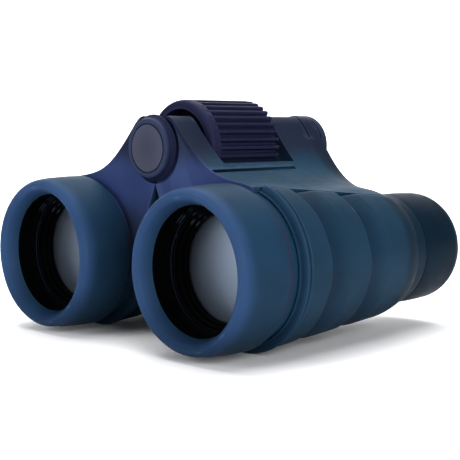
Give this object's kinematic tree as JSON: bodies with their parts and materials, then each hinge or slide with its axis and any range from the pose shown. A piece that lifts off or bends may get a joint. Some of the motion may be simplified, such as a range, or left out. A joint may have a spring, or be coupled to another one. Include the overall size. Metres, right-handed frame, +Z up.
{
  "type": "binoculars",
  "caption": "Compact central-focus binoculars with a folding hinge, ribbed focus wheel, banded grips and hooded objectives.",
  "frame": {"origin": "middle of the footprint, on the plane that the flange rings stand on", "axes": "+X to the wearer's left across the barrels, -Y towards the objectives, +Y towards the eyecups, +Z up to the hinge"},
  "size_m": [0.0982, 0.0902, 0.0613],
  "materials": {
    "blue_plastic": "satin blue moulded plastic",
    "teal_grip": "soft-touch dark teal rubber",
    "violet_plastic": "satin violet-blue moulded plastic",
    "wheel_rubber": "dark violet-grey moulded rubber",
    "black_plastic": "matt black",
    "lens_glass": "coated optical glass",
    "steel": "turned steel",
    "brass": "turned brass"
  },
  "bodies": {
    "left_barrel": {"left_housing": "violet_plastic", "left_grip": "teal_grip", "left_flange_ring": "blue_plastic", "left_objective_ring": "blue_plastic", "left_hood_liner": "black_plastic", "left_lens_retainer": "black_plastic", "left_objective_lens": "lens_glass", "left_baffle": "black_plastic", "hinge_cap": "violet_plastic", "hinge_cap_disc": "wheel_rubber", "front_hinge_pin": "steel", "rear_hinge_bush": "brass", "front_hinge_washer": "black_plastic", "rear_hinge_washer": "black_plastic"},
    "right_barrel": {"right_housing": "violet_plastic", "right_grip": "teal_grip", "right_flange_ring": "blue_plastic", "right_objective_ring": "blue_plastic", "right_hood_liner": "black_plastic", "right_lens_retainer": "black_plastic", "right_objective_lens": "lens_glass", "right_baffle": "black_plastic"},
    "left_eyepiece": {"left_bridge_arm": "violet_plastic", "left_eyepiece_tube": "black_plastic", "left_eyecup": "teal_grip", "left_eye_lens": "lens_glass", "left_eye_lens_retainer": "black_plastic", "focus_nut": "brass", "bridge_cap": "violet_plastic"},
    "right_eyepiece": {"right_bridge_arm": "violet_plastic", "right_eyepiece_tube": "black_plastic", "right_eyecup": "teal_grip", "right_eye_lens": "lens_glass", "right_eye_lens_retainer": "black_plastic"},
    "focus_wheel": {"focus_wheel": "wheel_rubber", "focus_wheel_hub": "black_plastic", "focus_screw": "steel"}
  },
  "joints": [
    {"name": "interpupillary_hinge", "type": "hinge", "parent": "left_barrel", "child": "right_barrel", "pos_m": [0, 0, 0.04891], "axis": [0, 1, 0], "range_deg": [0, 22]},
    {"name": "focus_turn", "type": "hinge", "parent": "left_barrel", "child": "focus_wheel", "pos_m": [0, 0, 0.04891], "axis": [0, 1, 0], "range_deg": [0, 300]},
    {"name": "left_eyepiece_slide", "type": "slide", "parent": "left_barrel", "child": "left_eyepiece", "axis": [0, 1, 0], "range_m": [0, 0.005]},
    {"name": "right_eyepiece_slide", "type": "slide", "parent": "right_barrel", "child": "right_eyepiece", "axis": [0, 1, 0], "range_m": [0, 0.005]}
  ],
  "couplings": [
    {"joint": "left_eyepiece_slide", "follows": "focus_turn", "m_per_rad": 0.00095},
    {"joint": "right_eyepiece_slide", "follows": "focus_turn", "m_per_rad": 0.00095}
  ]
}
